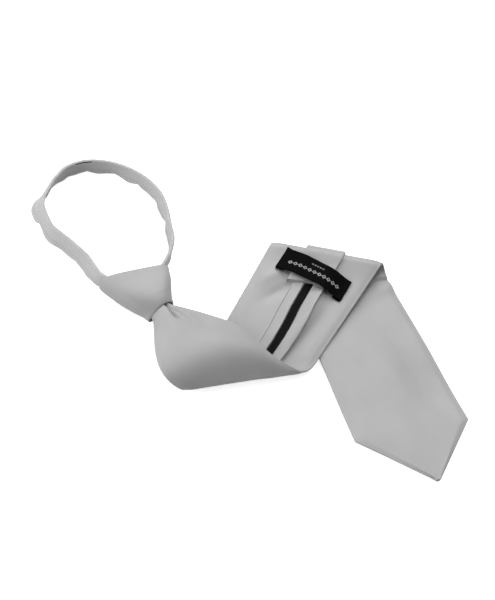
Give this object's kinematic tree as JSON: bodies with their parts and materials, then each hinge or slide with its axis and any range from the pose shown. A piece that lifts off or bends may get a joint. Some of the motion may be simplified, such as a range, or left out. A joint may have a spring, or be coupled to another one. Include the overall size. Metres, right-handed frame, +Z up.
{
  "type": "zipper tie",
  "caption": "Ready-tied zipper necktie lying folded in a zigzag, with its wrapped knot, its neck loop of bound zip tape, and the zip strap, tail and keeper label on the back of the blade.",
  "frame": {"origin": "middle of the bounding box, on the plane that the tie lies on", "axes": "+Z up, +X from the neck loop towards the tip of the blade, +Y away from the viewer of the picture"},
  "size_m": [0.3258, 0.1742, 0.0289],
  "materials": {
    "cloth": "satin",
    "band_cloth": "satin",
    "zip_tape": "matte",
    "label_weave": "satin",
    "slider_metal": "satin"
  },
  "bodies": {
    "root": {"blade": "cloth", "tail": "cloth", "strap_zip": "zip_tape", "strap_cover_left": "cloth", "strap_cover_right": "cloth", "keeper_label": "label_weave", "knot": "cloth", "zip_slider": "slider_metal", "neck_band_left": "band_cloth", "neck_band_right": "band_cloth"}
  },
  "joints": []
}
